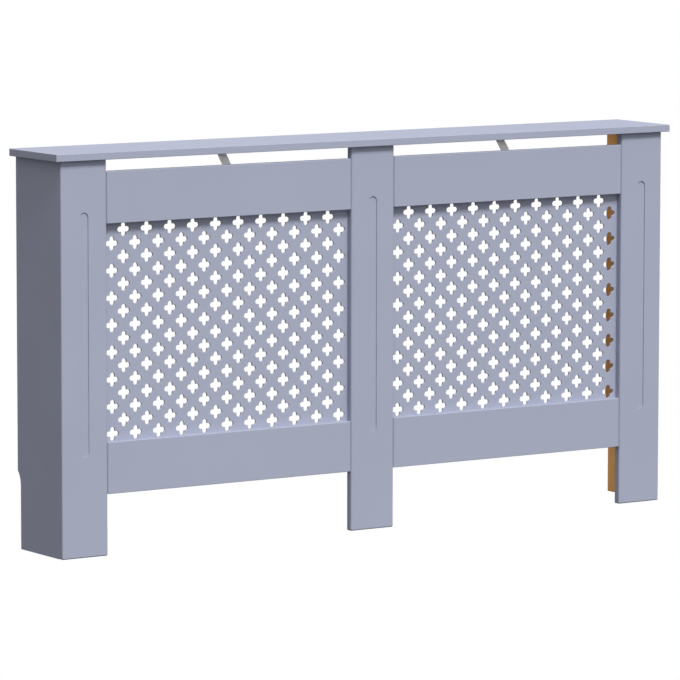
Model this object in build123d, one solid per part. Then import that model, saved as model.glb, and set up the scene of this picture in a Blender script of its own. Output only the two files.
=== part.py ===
from build123d import *

import os
from collections import namedtuple

# A radiator cover cabinet with two grille bays, open at the back and below.
# X runs to the right, Y to the rear (the front faces -Y) and Z up.
# The origin is on the floor, under the middle of the shelf. Millimetres.

# ---------------------------------------------------------------- overall
overall_width = 1520.0
overall_depth = 190.0
overall_height = 815.0
shelf_thickness = 15.0
shelf_side_overhang = 15.0
shelf_front_overhang = 10.0

# ---------------------------------------------------------------- boards
board_thickness = 15.0
side_thickness = 12.0
post_width = 106.0
rail_height = 105.0
air_slot_height = 24.0
floor_gap_height = 125.0
shelf_edge_radius = 1.2
frame_edge_radius = 1.2
joint_edge_radius = 4.0
outer_edge_radius = 3.0
side_edge_radius = 1.0

# flute down the middle of each post
flute_width = 20.0
flute_depth = 2.0
flute_top_margin = 104.0
flute_bottom_margin = 204.0

# notch at the lower rear corner of each side panel, for the skirting board
notch_depth = 12.0
notch_straight_height = 130.0
notch_curve_height = 30.0

# ---------------------------------------------------------------- grilles
grille_thickness = 4.0
grille_overlap = 30.0
cross_span = 28.5
cross_arm_width = 11.0
column_pitch = 54.5
row_pitch = 27.5

# ---------------------------------------------------------------- dowels
dowel_length = 30.0
dowel_radius = 3.0
dowel_chamfer = 0.8
dowel_clearance = 0.1
dowel_end_gap = 0.5
dowel_face_reach = 10.0
rail_dowel_spacing = 60.0
post_top_dowel_spacing = 60.0
post_dowel_heights = (120.0, 400.0, 680.0)
shelf_dowel_insets = (20.0, 140.0)

# ---------------------------------------------------------------- screws
screw_radius = 1.75
screw_head_radius = 3.5
screw_head_height = 2.2
screw_bite = 9.0
grille_screw_radius = 1.5
grille_screw_head_radius = 3.0
grille_screw_head_height = 1.8
grille_screw_bite = 9.0
screw_tip_length = 3.0
screw_recess_width = 0.9
screw_recess_span = 3.6
screw_recess_depth = 1.1
screw_crown_share = 0.55  # of the head's radius
screw_rim_share = 0.45  # of the head's height
pilot_clearance = 0.05
pilot_end_gap = 0.5
through_clearance = 0.35
grille_screws_per_rail = 4
grille_screw_end_inset = 60.0

# ---------------------------------------------------------------- brackets
brace_width = 20.0
brace_thickness = 2.0
brace_bend_radius = 4.0
brace_lower_leg = 43.0
brace_reach = 22.5
brace_upper_leg = 35.0
brace_bend_below_rail_top = 1.5
brace_end_radius = 4.0
brace_screw_inset = 9.0
brace_screw_spacing = 17.0

block_leg = 22.0
block_width = 30.0
block_wall = 4.0
block_gusset = 3.0
block_edge_radius = 1.0
post_block_heights = (220.0, 580.0)
shelf_block_insets = (50.0, 110.0)

wall_bracket_leg = 20.0
wall_bracket_drop = 16.0
wall_bracket_width = 16.0
wall_bracket_thickness = 2.0
wall_bracket_bend_radius = 3.0
wall_bracket_hole_drop = 9.5
wall_bracket_screw_inset = 12.0
wall_bracket_spacing = 900.0
wall_screw_hole_radius = 2.25

# ---------------------------------------------------------------- planes
shelf_underside = overall_height - shelf_thickness
back_plane = overall_depth / 2
front_plane = -overall_depth / 2 + shelf_front_overhang
frame_back = front_plane + board_thickness
frame_middle = front_plane + board_thickness / 2
grille_back = frame_back + grille_thickness
notch_height = notch_straight_height + notch_curve_height
edge_tolerance = 0.5  # slack when edges are picked by place

body_half_width = overall_width / 2 - shelf_side_overhang
side_inner_face = body_half_width - side_thickness
side_middle = body_half_width - side_thickness / 2
end_post_centre = body_half_width - post_width / 2
bay_width = (2 * body_half_width - 3 * post_width) / 2
bay_centre = (post_width + bay_width) / 2

top_rail_top = shelf_underside - air_slot_height
top_rail_bottom = top_rail_top - rail_height
bottom_rail_bottom = floor_gap_height
bottom_rail_top = bottom_rail_bottom + rail_height
bay_height = top_rail_bottom - bottom_rail_top
bay_middle_height = (bottom_rail_top + top_rail_bottom) / 2

LEFT, RIGHT = -1, 1
SIDES = {"left": LEFT, "right": RIGHT}

# A dowel lies across the joint at `centre`, pointing `into` the board named
# `near` by `reach`, with the rest of its length in the board named `far`.
Dowel = namedtuple("Dowel", "group centre into reach near far")

# A screw's head sits at `seat`. It points `into` the board named `board`,
# through a piece that is `grip` thick there.
Screw = namedtuple("Screw", "group seat into grip board")


# ---------------------------------------------------------------- helpers
def box_between(low, high):
    """An upright box from its lowest to its highest corner."""
    size = [high[i] - low[i] for i in range(3)]
    middle = [(high[i] + low[i]) / 2 for i in range(3)]
    return Pos(*middle) * Box(*size)


def facing(origin, direction):
    """A plane at the point whose normal is the direction."""
    return Plane(origin=origin, z_dir=direction)


def hole(mouth, into, radius, depth):
    """The tool that drills a round hole from its mouth."""
    drill = Cylinder(radius, depth, align=(Align.CENTER, Align.CENTER, Align.MIN))
    return facing(mouth, into).location * drill


def step_along(point, direction, distance):
    """The point moved along a direction."""
    return tuple(point[i] + direction[i] * distance for i in range(3))


def opposite(direction):
    """The direction turned round."""
    return tuple(-part for part in direction)


def copies_in(span, pitch):
    """How many copies at the pitch fit with their centres within the span."""
    return int(span / pitch + 1e-6) + 1


def centred_row(count, pitch):
    """Positions of the copies, centred on zero."""
    return [(i - (count - 1) / 2) * pitch for i in range(count)]


# ---------------------------------------------------------------- fixings
def list_dowels():
    """Every dowel of the cabinet."""
    dowels = []
    rail_heights = {
        "top": (top_rail_top + top_rail_bottom) / 2,
        "bottom": (bottom_rail_top + bottom_rail_bottom) / 2,
    }
    rail_reach = dowel_length / 2
    edge_reach = dowel_length - dowel_face_reach
    for side, sign in SIDES.items():
        for level, height in rail_heights.items():
            rail = f"{side}_{level}_rail"
            joints = {
                f"{side}_post": sign * (end_post_centre - post_width / 2),
                "middle_post": sign * post_width / 2,
            }
            for post, x in joints.items():
                into_rail = (-sign, 0, 0) if post != "middle_post" else (sign, 0, 0)
                for rise in centred_row(2, rail_dowel_spacing):
                    centre = (x, frame_middle, height + rise)
                    dowels.append(Dowel("rail_dowels", centre, into_rail, rail_reach, rail, post))
        panel = f"{side}_side_panel"
        for height in post_dowel_heights:
            centre = (sign * side_middle, frame_back, height)
            dowels.append(Dowel("post_dowels", centre, (0, 1, 0), edge_reach, panel, f"{side}_post"))
        for inset in shelf_dowel_insets:
            centre = (sign * side_middle, frame_back + inset, shelf_underside)
            dowels.append(Dowel("shelf_dowels", centre, (0, 0, -1), edge_reach, panel, "top_shelf"))
    posts = {"left_post": -end_post_centre, "middle_post": 0.0, "right_post": end_post_centre}
    for post, x in posts.items():
        for shift in centred_row(2, post_top_dowel_spacing):
            centre = (x + shift, frame_middle, shelf_underside)
            dowels.append(Dowel("shelf_dowels", centre, (0, 0, -1), edge_reach, post, "top_shelf"))
    return dowels


def dowel_solid(dowel):
    """A round dowel with chamfered ends."""
    pin = Cylinder(dowel_radius, dowel_length, align=(Align.CENTER, Align.CENTER, Align.MIN))
    pin = chamfer(pin.edges().filter_by(GeomType.CIRCLE), dowel_chamfer)
    far_end = step_along(dowel.centre, dowel.into, dowel.reach - dowel_length)
    return facing(far_end, dowel.into).location * pin


def dowel_holes(dowels, node):
    """The blind holes that the dowels need in one board."""
    radius = dowel_radius + dowel_clearance
    near = [
        hole(d.centre, d.into, radius, d.reach + dowel_end_gap)
        for d in dowels if d.near == node
    ]
    far = [
        hole(d.centre, opposite(d.into), radius, dowel_length - d.reach + dowel_end_gap)
        for d in dowels if d.far == node
    ]
    return near + far


def pan_head_screw(length, radius, head_radius, head_height):
    """A cross-recessed pan-head screw, head up, with its seat at the origin."""
    crown = (head_radius * screw_crown_share, head_height)
    rim = (head_radius, head_height * screw_rim_share)
    outline = Polyline(
        (0, head_height), crown, rim, (head_radius, 0), (radius, 0),
        (radius, screw_tip_length - length), (0, -length), (0, head_height),
    )
    body = revolve(Plane.XZ * make_face(outline), Axis.Z)
    deep = (Align.CENTER, Align.CENTER, Align.MAX)
    wing = Box(screw_recess_span, screw_recess_width, screw_recess_depth, align=deep)
    slot = Pos(0, 0, head_height) * wing
    return body - slot - Rot(0, 0, 90) * slot


def screw_solids(screws, bite, radius, head_radius, head_height):
    """One solid for each screw, made once for each length."""
    made = {}
    solids = []
    for screw in screws:
        length = screw.grip + bite
        if length not in made:
            made[length] = pan_head_screw(length, radius, head_radius, head_height)
        solids.append(facing(screw.seat, opposite(screw.into)).location * made[length])
    return solids


def pilot_holes(screws, node, bite, radius):
    """The blind holes that the screws need in one board."""
    return [
        hole(
            step_along(s.seat, s.into, s.grip), s.into,
            radius + pilot_clearance, bite + pilot_end_gap,
        )
        for s in screws if s.board == node
    ]


# ---------------------------------------------------------------- front frame
def eased(board, joints, level_radius):
    """A board of the front frame with its face rounded, most along its joints."""
    for side in (LEFT, RIGHT):
        face = board.faces().sort_by(Axis.Y)[0]
        upright = face.edges().filter_by(Axis.Z).sort_by(Axis.X)[0 if side == LEFT else -1]
        board = fillet([upright], joint_edge_radius if side in joints else outer_edge_radius)
    face = board.faces().sort_by(Axis.Y)[0]
    return fillet(face.edges().filter_by(Axis.X), level_radius)


def post(centre_x, joints):
    """An upright of the front frame, jointed on the given sides, with its flute."""
    board = eased(box_between(
        (centre_x - post_width / 2, front_plane, 0),
        (centre_x + post_width / 2, frame_back, shelf_underside),
    ), joints, outer_edge_radius)
    flute_length = shelf_underside - flute_top_margin - flute_bottom_margin
    flute_middle = flute_bottom_margin + flute_length / 2
    face = Plane(origin=(centre_x, front_plane, flute_middle), x_dir=(0, 0, 1), z_dir=(0, 1, 0))
    flute = extrude(face * SlotOverall(flute_length, flute_width), flute_depth)
    return board - flute


def rail(centre_x, bottom):
    """A cross piece of the front frame, flush with the posts."""
    return eased(box_between(
        (centre_x - bay_width / 2, front_plane, bottom),
        (centre_x + bay_width / 2, frame_back, bottom + rail_height),
    ), (LEFT, RIGHT), frame_edge_radius)


# ---------------------------------------------------------------- carcass
def top_shelf():
    """The shelf, flush with the side panels at the rear."""
    board = box_between(
        (-overall_width / 2, -overall_depth / 2, shelf_underside),
        (overall_width / 2, back_plane, overall_height),
    )
    return fillet(board.edges(), shelf_edge_radius)


def side_panel(sign):
    """A side, notched at its lower rear corner for the skirting board."""
    notch_face = back_plane - notch_depth
    outline = (
        Polyline(
            (notch_face, notch_straight_height), (notch_face, 0), (frame_back, 0),
            (frame_back, shelf_underside), (back_plane, shelf_underside), (back_plane, notch_height),
        )
        + TangentArc((notch_face, notch_straight_height), (back_plane, notch_height), tangent=(0, 1))
    )
    outside = sign * body_half_width
    panel = extrude(
        Plane(origin=(outside, 0, 0), x_dir=(0, 1, 0), z_dir=(1, 0, 0)) * make_face(outline),
        -sign * side_thickness,
    )
    outer_face = panel.faces().sort_by(Axis.X)[-1 if sign > 0 else 0]
    rear_edges = [
        edge for edge in outer_face.edges()
        if edge.center().Y > notch_face - edge_tolerance
        and edge.center().Z < shelf_underside - edge_tolerance
    ]
    return fillet(rear_edges, side_edge_radius)


# ---------------------------------------------------------------- grilles
def rounded_cross():
    """Two crossed slots with round ends."""
    arm = SlotOverall(cross_span, cross_arm_width)
    return arm + Rot(0, 0, 90) * arm


def cross_positions():
    """Centres of the crosses about the bay's middle, in staggered rows."""
    columns = copies_in(bay_width - cross_span, column_pitch)
    rows = copies_in(bay_height - cross_span, row_pitch)
    centres = []
    for index, height in enumerate(centred_row(rows, row_pitch)):
        in_row = columns if index % 2 == 0 else columns - 1
        centres += [(x, height) for x in centred_row(in_row, column_pitch)]
    return centres


def grille_screw_positions():
    """Screw centres about the bay's middle, in the band behind the frame."""
    band = grille_overlap / 2
    reach = bay_width / 2 - grille_screw_end_inset
    pitch = 2 * reach / (grille_screws_per_rail - 1)
    along = centred_row(grille_screws_per_rail, pitch)
    level = bay_height / 2 + band
    ends = bay_width / 2 + band
    rows = [(x, sign * level) for sign in (-1, 1) for x in along]
    return rows + [(sign * ends, 0.0) for sign in (-1, 1)]


def grille():
    """The perforated board of a bay, about the bay's middle on the X axis."""
    sheet = Rectangle(bay_width + 2 * grille_overlap, bay_height + 2 * grille_overlap)
    cross = rounded_cross().face().outer_wire()
    screw_hole = Circle(grille_screw_radius + through_clearance).face().outer_wire()
    holes = [Pos(x, z) * cross for x, z in cross_positions()]
    holes += [Pos(x, z) * screw_hole for x, z in grille_screw_positions()]
    holed = Face(sheet.face().outer_wire(), holes)
    rear = Plane(origin=(0, grille_back, bay_middle_height), x_dir=(1, 0, 0), z_dir=(0, -1, 0))
    return extrude(rear * holed, grille_thickness)


def list_grille_screws():
    """The screws that hold the grilles to the frame's rear."""
    screws = []
    for side, sign in SIDES.items():
        boards = {-1: f"{side}_bottom_rail", 1: f"{side}_top_rail"}
        for x, z in grille_screw_positions():
            seat = (sign * bay_centre + x, grille_back, bay_middle_height + z)
            if z == 0:
                board = "middle_post" if x * sign < 0 else f"{side}_post"
            else:
                board = boards[1 if z > 0 else -1]
            screws.append(Screw("grille_screws", seat, (0, -1, 0), grille_thickness, board))
    return screws


# ---------------------------------------------------------------- shelf braces
def brace_path():
    """Middle line of the strip in (Y, Z), from the rail up to the shelf."""
    half = brace_thickness / 2
    bend = top_rail_top - brace_bend_below_rail_top
    rail_side = frame_back + half
    shelf_side = shelf_underside - half
    upper_start = rail_side + brace_reach
    return [
        (rail_side, bend - brace_lower_leg), (rail_side, bend),
        (upper_start, shelf_side), (upper_start + brace_upper_leg, shelf_side),
    ]


def brace_screws_for(sign):
    """The four screws of one brace."""
    path = brace_path()
    x = sign * bay_centre
    rail_name = "left_top_rail" if sign < 0 else "right_top_rail"
    low = path[0][1] + brace_screw_inset
    far = path[3][0] - brace_screw_inset
    grip = brace_thickness
    screws = []
    for step in range(2):
        height = low + step * brace_screw_spacing
        seat = (x, frame_back + grip, height)
        screws.append(Screw("brace_screws", seat, (0, -1, 0), grip, rail_name))
        seat = (x, far - step * brace_screw_spacing, shelf_underside - grip)
        screws.append(Screw("brace_screws", seat, (0, 0, 1), grip, "top_shelf"))
    return screws


def shelf_brace(sign):
    """A bent steel strip from the rear of the top rail to the shelf."""
    line = FilletPolyline(*brace_path(), radius=brace_bend_radius)
    section = trace(line, brace_thickness)
    x = sign * bay_centre
    across = Plane(origin=(x - brace_width / 2, 0, 0), x_dir=(0, 1, 0), z_dir=(1, 0, 0))
    strip = extrude(across * section, brace_width)
    low_corners = strip.edges().filter_by(Axis.Y).group_by(Axis.Z)[0]
    strip = fillet(low_corners, brace_end_radius)
    far_corners = strip.edges().filter_by(Axis.Z).group_by(Axis.Y)[-1]
    strip = fillet(far_corners, brace_end_radius)
    radius = screw_radius + through_clearance
    return strip - [hole(s.seat, s.into, radius, s.grip) for s in brace_screws_for(sign)]


# ---------------------------------------------------------------- corner blocks
# A block's plane has its origin on the corner line, its X across the first
# leg's board and its Y across the second leg's board.
BlockSite = namedtuple("BlockSite", "node plane first_board second_board")


def block_sites():
    """Where each corner block sits and what it joins."""
    sites = []
    for side, sign in SIDES.items():
        inner = sign * side_inner_face
        panel = f"{side}_side_panel"
        for place, height in zip(("lower", "upper"), post_block_heights):
            plane = Plane(origin=(inner, frame_back, height), x_dir=(-sign, 0, 0), z_dir=(0, 0, -sign))
            sites.append(BlockSite(f"{side}_{place}_post_block", plane, panel, f"{side}_post"))
        for place, inset in zip(("front", "rear"), shelf_block_insets):
            origin = (inner, frame_back + inset, shelf_underside)
            plane = Plane(origin=origin, x_dir=(-sign, 0, 0), z_dir=(0, -sign, 0))
            sites.append(BlockSite(f"{side}_{place}_shelf_block", plane, panel, "top_shelf"))
    plane = Plane(origin=(0, frame_back, shelf_underside), x_dir=(0, 1, 0), z_dir=(-1, 0, 0))
    sites.append(BlockSite("middle_post_block", plane, "middle_post", "top_shelf"))
    return sites


def block_screw_offset():
    """Distance of a block's screws from its corner line."""
    return (block_wall + block_leg) / 2


def corner_block():
    """A moulded angle block with two gussets, at its own corner's origin."""
    leg, wall, half = block_leg, block_wall, block_width / 2
    outline = Polyline((0, 0), (leg, 0), (leg, wall), (wall, wall), (wall, leg), (0, leg), (0, 0))
    body = extrude(Plane.XY.offset(-half) * make_face(outline), block_width)
    body = fillet(body.edges().filter_by(Axis.Z).sort_by_distance((0, 0, 0))[-2:], block_edge_radius)
    web = Polyline((0, 0), (leg - wall / 2, 0), (0, leg - wall / 2), (0, 0))
    for base in (-half, half - block_gusset):
        body += extrude(Plane.XY.offset(base) * make_face(web), block_gusset)
    reach = block_screw_offset()
    radius = screw_radius + through_clearance
    return body - [
        hole((wall, reach, 0), (-1, 0, 0), radius, wall),
        hole((reach, wall, 0), (0, -1, 0), radius, wall),
    ]


def list_block_screws(sites):
    """Two screws for each block, one into each board."""
    screws = []
    reach = block_screw_offset()
    for site in sites:
        across_first = tuple(site.plane.x_dir)
        across_second = tuple(site.plane.y_dir)
        origin = tuple(site.plane.origin)
        seat = step_along(step_along(origin, across_first, block_wall), across_second, reach)
        into = opposite(across_first)
        screws.append(Screw("block_screws", seat, into, block_wall, site.first_board))
        seat = step_along(step_along(origin, across_second, block_wall), across_first, reach)
        into = opposite(across_second)
        screws.append(Screw("block_screws", seat, into, block_wall, site.second_board))
    return screws


# ---------------------------------------------------------------- wall brackets
def wall_bracket_screw(sign):
    """The screw that holds a wall bracket up under the shelf."""
    x = sign * wall_bracket_spacing / 2
    y = back_plane - wall_bracket_screw_inset
    seat = (x, y, shelf_underside - wall_bracket_thickness)
    return Screw("wall_bracket_screws", seat, (0, 0, 1), wall_bracket_thickness, "top_shelf")


def wall_bracket(sign):
    """A small steel angle under the shelf's rear edge, holed for the wall."""
    x = sign * wall_bracket_spacing / 2
    thick, leg, drop = wall_bracket_thickness, wall_bracket_leg, wall_bracket_drop
    outline = Polyline(
        (0, 0), (-leg, 0), (-leg, -thick), (-thick, -thick), (-thick, -drop), (0, -drop), (0, 0),
    )
    section = make_face(outline)
    corners = section.vertices().sort_by_distance((0, 0, 0))
    section = fillet(corners[0], wall_bracket_bend_radius)
    section = fillet(
        section.vertices().sort_by_distance((-thick, -thick, 0))[0],
        wall_bracket_bend_radius - thick,
    )
    origin = (x - wall_bracket_width / 2, back_plane, shelf_underside)
    across = Plane(origin=origin, x_dir=(0, 1, 0), z_dir=(1, 0, 0))
    angle = extrude(across * section, wall_bracket_width)
    screw = wall_bracket_screw(sign)
    wall_hole_height = shelf_underside - wall_bracket_hole_drop
    return angle - [
        hole(screw.seat, screw.into, screw_radius + through_clearance, thick),
        hole((x, back_plane, wall_hole_height), (0, -1, 0), wall_screw_hole_radius, thick),
    ]


# ---------------------------------------------------------------- assembly
def build_nodes():
    """Every named sub-part of the cabinet, in place."""
    dowels = list_dowels()
    sites = block_sites()
    grille_screws = list_grille_screws()
    board_screws = brace_screws_for(LEFT) + brace_screws_for(RIGHT)
    board_screws += list_block_screws(sites)
    board_screws += [wall_bracket_screw(LEFT), wall_bracket_screw(RIGHT)]

    boards = {
        "top_shelf": top_shelf(),
        "left_side_panel": side_panel(LEFT),
        "right_side_panel": side_panel(RIGHT),
        "left_post": post(-end_post_centre, (RIGHT,)),
        "middle_post": post(0.0, (LEFT, RIGHT)),
        "right_post": post(end_post_centre, (LEFT,)),
    }
    for side, sign in SIDES.items():
        boards[f"{side}_top_rail"] = rail(sign * bay_centre, top_rail_bottom)
        boards[f"{side}_bottom_rail"] = rail(sign * bay_centre, bottom_rail_bottom)

    nodes = {}
    for name, board in boards.items():
        drills = dowel_holes(dowels, name)
        drills += pilot_holes(board_screws, name, screw_bite, screw_radius)
        drills += pilot_holes(grille_screws, name, grille_screw_bite, grille_screw_radius)
        nodes[name] = [board - drills]

    perforated = grille()
    for side, sign in SIDES.items():
        nodes[f"{side}_grille"] = [Pos(sign * bay_centre, 0, 0) * perforated]
        nodes[f"{side}_shelf_brace"] = [shelf_brace(sign)]
        nodes[f"{side}_wall_bracket"] = [wall_bracket(sign)]

    block = corner_block()
    for site in sites:
        nodes[site.node] = [site.plane.location * block]

    for group in ("rail_dowels", "post_dowels", "shelf_dowels"):
        nodes[group] = [dowel_solid(d) for d in dowels if d.group == group]
    for group in ("brace_screws", "block_screws", "wall_bracket_screws"):
        of_group = [s for s in board_screws if s.group == group]
        nodes[group] = screw_solids(
            of_group, screw_bite, screw_radius, screw_head_radius, screw_head_height,
        )
    nodes["grille_screws"] = screw_solids(
        grille_screws, grille_screw_bite, grille_screw_radius,
        grille_screw_head_radius, grille_screw_head_height,
    )
    return nodes


def main():
    os.makedirs("parts", exist_ok=True)
    for name, pieces in build_nodes().items():
        solids = [solid for piece in pieces for solid in piece.solids()]
        shape = solids[0] if len(solids) == 1 else Compound(children=solids)
        export_step(shape, f"parts/{name}.step")


if __name__ == "__main__":
    main()
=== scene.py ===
"""A radiator cover cabinet: the finish of its boards, its perforated grilles and its fixings."""

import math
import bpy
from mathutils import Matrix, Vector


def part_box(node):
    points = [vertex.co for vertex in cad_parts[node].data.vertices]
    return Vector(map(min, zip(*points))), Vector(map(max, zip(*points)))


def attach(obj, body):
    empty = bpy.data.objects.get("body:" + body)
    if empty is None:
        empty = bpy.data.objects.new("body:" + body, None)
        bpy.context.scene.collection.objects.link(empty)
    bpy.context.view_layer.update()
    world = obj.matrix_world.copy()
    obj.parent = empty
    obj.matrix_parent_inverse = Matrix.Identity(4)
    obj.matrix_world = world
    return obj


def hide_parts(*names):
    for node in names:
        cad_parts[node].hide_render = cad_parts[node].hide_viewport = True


bl_info = {
    "name": "Radiator Cover Cabinet",
    "version": (1, 0, 0),
    "blender": (4, 5, 0),
    "location": "3D View > Sidebar > Radiator Cover",
    "description": "Finishes a two-bay radiator cover and sets it on a pale studio floor",
    "category": "Object",
}

import bmesh
import bpy
import numpy as np
from bpy.props import FloatProperty, FloatVectorProperty, IntProperty, PointerProperty
from mathutils import Euler, Matrix, Vector

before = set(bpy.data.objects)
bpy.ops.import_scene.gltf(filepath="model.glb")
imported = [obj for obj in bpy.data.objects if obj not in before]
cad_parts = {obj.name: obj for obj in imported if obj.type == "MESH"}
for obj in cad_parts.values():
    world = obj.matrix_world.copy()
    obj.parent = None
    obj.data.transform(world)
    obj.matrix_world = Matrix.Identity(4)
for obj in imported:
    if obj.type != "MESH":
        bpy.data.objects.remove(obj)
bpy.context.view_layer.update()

MM = 0.001
BODY = "root"

# Points closer than these are one point.
FRAME_WELD = 0.001 * MM
WELD = 0.002 * MM
GRILLE_WELD = 0.005 * MM

# Edges that bend less than this many degrees are shaded smooth.
SMOOTH_BELOW = 40
DOWEL_SMOOTH_BELOW = 30


def srgb(*parts):
    """Linear colour of an 8-bit screen colour."""
    shares = [part / 255 for part in parts]
    return tuple(s / 12.92 if s <= 0.04045 else ((s + 0.055) / 1.055) ** 2.4 for s in shares)


# ---------------------------------------------------------------- the frame
def nodes_with(slot):
    """Names of the frame's nodes that carry a material slot of the record."""
    return sorted(name for name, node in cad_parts.items() if node.data.materials[0].name == slot)


BOARD_NODES = nodes_with("lacquered_board")
GRILLE_NODES = nodes_with("lacquered_grille")
STEEL_NODES = nodes_with("galvanised_steel")
BRACE_NODES = [name for name in STEEL_NODES if name.endswith("shelf_brace")]
BLOCK_NODES = nodes_with("moulded_block")
SCREW_NODES = nodes_with("zinc_screw")
DOWEL_NODES = nodes_with("beech_dowel")

FRAME_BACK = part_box("middle_post")[1].y
GRILLE_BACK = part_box(GRILLE_NODES[0])[1].y
SIDE_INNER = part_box("right_side_panel")[0].x
BACK_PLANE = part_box("right_side_panel")[1].y
SHELF_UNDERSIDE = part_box("top_shelf")[0].z


# ---------------------------------------------------------------- settings
def length(name, description, default):
    """A size in metres that a user may change."""
    return FloatProperty(name=name, description=description, default=default, unit="LENGTH", precision=5)


def colour(name, description, default):
    """A colour that a user may change."""
    return FloatVectorProperty(
        name=name, description=description, default=default, subtype="COLOR", min=0, max=1,
    )


def share(name, description, default, top=1.0):
    """A plain number from nothing up to its top."""
    return FloatProperty(name=name, description=description, default=default, min=0, max=top, precision=3)


def angle(name, description, default):
    """A turn, given here in degrees."""
    return FloatProperty(name=name, description=description, default=math.radians(default), subtype="ANGLE")


class LacquerSettings(bpy.types.PropertyGroup):
    """The grey-blue lacquer and the bare fibreboard under it."""

    board: colour("Board lacquer", "Colour of the satin lacquer on the boards", srgb(160, 165, 185))
    grille: colour("Grille lacquer", "Colour of the lacquer on the grilles", srgb(160, 165, 185))
    roughness: share("Roughness", "How matt the lacquer is", 0.64)
    mottling: share("Mottling", "How much the coat's shade drifts over a board", 0.035)
    peel_size: length("Peel size", "Width of one dimple of the sprayed coat", 2.4 * MM)
    peel_height: length("Peel height", "Depth of the sprayed coat's dimples", 0.02 * MM)
    bare: colour("Bare board", "Colour of the unpainted fibreboard", srgb(222, 170, 100))
    bare_dark: colour("Bare board fibres", "Colour of the darker fibres in it", srgb(190, 136, 70))
    overspray: length("Overspray", "How far the lacquer creeps on to a bare face", 0.35 * MM)


class GrilleSettings(bpy.types.PropertyGroup):
    """The staggered crosses that are routed through the grilles."""

    cross_span: length("Cross span", "Width and height of a cross", 28.5 * MM)
    cross_arm: length("Cross arm", "Width of an arm of a cross", 11 * MM)
    column_pitch: length("Column pitch", "Spacing of the crosses in a row", 54.5 * MM)
    row_pitch: length("Row pitch", "Spacing of the rows", 27.5 * MM)
    columns: IntProperty(name="Columns", description="Crosses in the longer rows", default=11, min=1)
    rows: IntProperty(name="Rows", description="Rows of crosses", default=16, min=1)
    arc_steps: IntProperty(
        name="Arc steps", description="Straight steps round an arm's end", default=6, min=2,
    )
    edge: length("Eased edge", "Width of the eased edge on the front", 0.4 * MM)
    screw_hole: length("Screw hole", "Radius of the holes for the grille screws", 1.85 * MM)


class FixingSettings(bpy.types.PropertyGroup):
    """Screws, dowels, steel strips and moulded blocks."""

    zinc: colour("Zinc", "Colour of the plated screws", srgb(196, 198, 196))
    steel: colour("Steel", "Colour of the galvanised strips", srgb(240, 240, 236))
    spangle: length("Spangle", "Width of a spangle on the galvanised steel", 7 * MM)
    block: colour("Block", "Colour of the moulded corner blocks", srgb(172, 142, 108))
    beech: colour("Beech", "Light wood between the pores", srgb(214, 176, 128))
    beech_dark: colour("Beech pores", "Dark flecks of the beech", srgb(170, 124, 78))
    thread_pitch: length("Thread pitch", "Rise of the screw thread in one turn", 1.6 * MM)
    thread_depth: length("Thread depth", "Depth of the screw thread", 0.45 * MM)
    recess_span: length("Recess span", "Width of the cross recess in a head", 3.8 * MM)
    recess_width: length("Recess width", "Width of one wing of the recess", 0.95 * MM)
    recess_depth: length("Recess depth", "Depth of the cross recess", 1.2 * MM)
    flutes: IntProperty(name="Flutes", description="Grooves round a dowel", default=18, min=3)
    flute_depth: length("Flute depth", "Depth of a dowel's grooves", 0.3 * MM)


class StageSettings(bpy.types.PropertyGroup):
    """Floor, lights and camera."""

    floor_size: length("Floor size", "Width of the floor", 240.0)
    floor: colour("Floor", "Colour of the evenly lit floor", (1.0, 1.0, 1.0))
    key_strength: share("Key light", "Strength of the key light", 3.0, 100)
    key_height: angle("Key height", "Height of the key light above the horizon", 54)
    key_turn: angle("Key turn", "Turn of the key light from the front to the right", 0)
    key_softness: angle("Key softness", "Angle that the key light fills", 17)
    low_strength: share("Low light", "Strength of the low light in front", 0.3, 100)
    low_height: angle("Low height", "Height of the low light above the horizon", 10)
    low_softness: angle("Low softness", "Angle that the low light fills", 70)
    brace_strength: share("Brace light", "Strength of the light on the shelf braces alone", 0.6, 100)
    brace_height: angle("Brace light height", "Height of the brace light above the horizon", 8)
    brace_turn: angle("Brace light turn", "Turn of the brace light from the front to the right", -33)
    brace_softness: angle("Brace light softness", "Angle that the brace light fills", 10)
    back_strength: share("Back light", "Strength of the light from the rear right", 1.2, 100)
    back_height: angle("Back height", "Height of the back light, which comes off the floor", -8)
    back_turn: angle("Back turn", "Turn of the back light from the front to the right", 150)
    back_softness: angle("Back softness", "Angle that the back light fills", 14)
    low_spot_power: share("Low spot", "Watts of the spot on the right panel's foot", 0.024, 1000)
    high_spot_power: share("High spot", "Watts of the spot on the right panel's head", 0.02, 1000)
    low_spot_height: length("Low spot height", "Height of the low spot over the floor", 0.06)
    high_spot_height: length("High spot height", "Height of the high spot over the floor", 0.72)
    spot_size: length("Spot size", "Width and height of a spot", 0.12)
    spot_spread: angle("Spot spread", "Angle that a spot shines over", 24)
    spot_behind: length("Spot place", "How far behind the middle of the shelf the spots stand", 0.13)
    horizon: share("Horizon", "Strength of the light from the level all round", 0.43, 10)
    zenith: share("Zenith", "Strength of the light from straight above", 0.68, 10)
    ground: share("Ground", "Strength of the light from below", 0.06, 10)
    camera_place: FloatVectorProperty(
        name="Camera place", description="Where the camera stands", subtype="TRANSLATION",
        default=(-5.6096, -8.4811, 1.5868),
    )
    camera_turn: angle("Camera turn", "Turn of the camera to the right of straight ahead", 33.363)
    camera_tilt: angle("Camera tilt", "Tilt of the camera below the horizon", 6.723)
    camera_roll: angle("Camera roll", "Roll of the camera", 0.078)
    lens: FloatProperty(name="Lens", description="Focal length in millimetres", default=259.43, min=1)


# ---------------------------------------------------------------- node trees
def feed(tree, socket, value):
    """Joins a socket to another one, or sets its number, opaque colour or object."""
    if isinstance(value, bpy.types.NodeSocket):
        tree.links.new(value, socket)
    elif socket.type == "RGBA":
        socket.default_value = (*value, 1.0)
    else:
        socket.default_value = value


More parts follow.
